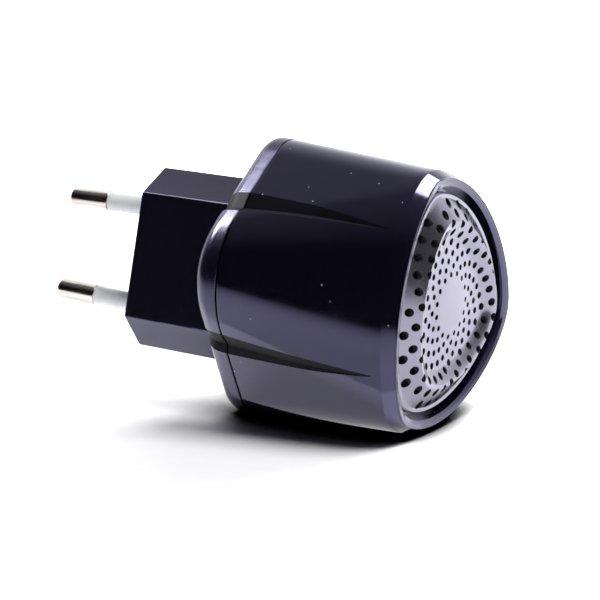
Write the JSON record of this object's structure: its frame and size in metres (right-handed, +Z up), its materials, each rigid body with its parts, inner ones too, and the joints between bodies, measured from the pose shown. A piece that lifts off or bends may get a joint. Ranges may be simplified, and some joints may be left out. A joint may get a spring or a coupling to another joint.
{
  "type": "ultrasonic pest repeller",
  "caption": "Ultrasonic pest repeller that plugs straight into a European mains socket, with a domed perforated grille over its sounder.",
  "frame": {"origin": "middle of the bottom of the whole object's box, as it lies on a table", "axes": "+Z up as it lies, +X along the case from the plug to the grille, nose 4 degrees low, case rolled 12 degrees about its own axis"},
  "size_m": [0.0854, 0.0472, 0.0504],
  "materials": {
    "shell_plastic": "glossy near-black navy injection-moulded ABS",
    "grille_plastic": "satin lavender-grey metallic paint on moulded plastic",
    "pin_metal": "bright nickel plate on turned brass",
    "sleeve_plastic": "white insulating sleeve, slightly translucent",
    "carrier_plastic": "ivory moulded plastic",
    "brown_insulation": "brown wire insulation",
    "blue_insulation": "blue wire insulation",
    "red_insulation": "red wire insulation",
    "black_insulation": "black wire insulation",
    "board_laminate": "green solder-masked laminate",
    "capacitor_box": "yellow moulded case",
    "resistor_coat": "grey-blue cement coat",
    "chip_resin": "black epoxy resin",
    "can_sleeve": "dark shrink sleeve",
    "orange_glass": "orange glass bead",
    "ferrite": "dark sintered ferrite",
    "magnet_wire": "enamelled copper winding",
    "holder_plastic": "black moulded plastic",
    "brass_sheet": "thin brass sheet",
    "silvered_ceramic": "silvered piezo ceramic",
    "foam": "black closed-cell foam",
    "screen_cloth": "black acoustic cloth"
  },
  "bodies": {
    "root": {"rear_cap": "shell_plastic", "front_shell": "shell_plastic", "grille": "grille_plastic", "upper_pin": "pin_metal", "lower_pin": "pin_metal", "upper_pin_sleeve": "sleeve_plastic", "lower_pin_sleeve": "sleeve_plastic", "pin_carrier": "carrier_plastic", "live_lead": "brown_insulation", "neutral_lead": "blue_insulation", "circuit_board": "board_laminate", "film_capacitor": "capacitor_box", "fusible_resistor": "resistor_coat", "bridge_rectifier": "chip_resin", "smoothing_capacitor": "can_sleeve", "zener_diode": "orange_glass", "oscillator_chip": "chip_resin", "driver_transistor": "chip_resin", "coil_core": "ferrite", "coil_winding": "magnet_wire", "sounder_holder": "holder_plastic", "sounder_disc": "brass_sheet", "piezo_ceramic": "silvered_ceramic", "sounder_lead_a": "red_insulation", "sounder_lead_b": "black_insulation", "foam_ring": "foam", "dust_screen": "screen_cloth"}
  },
  "joints": []
}
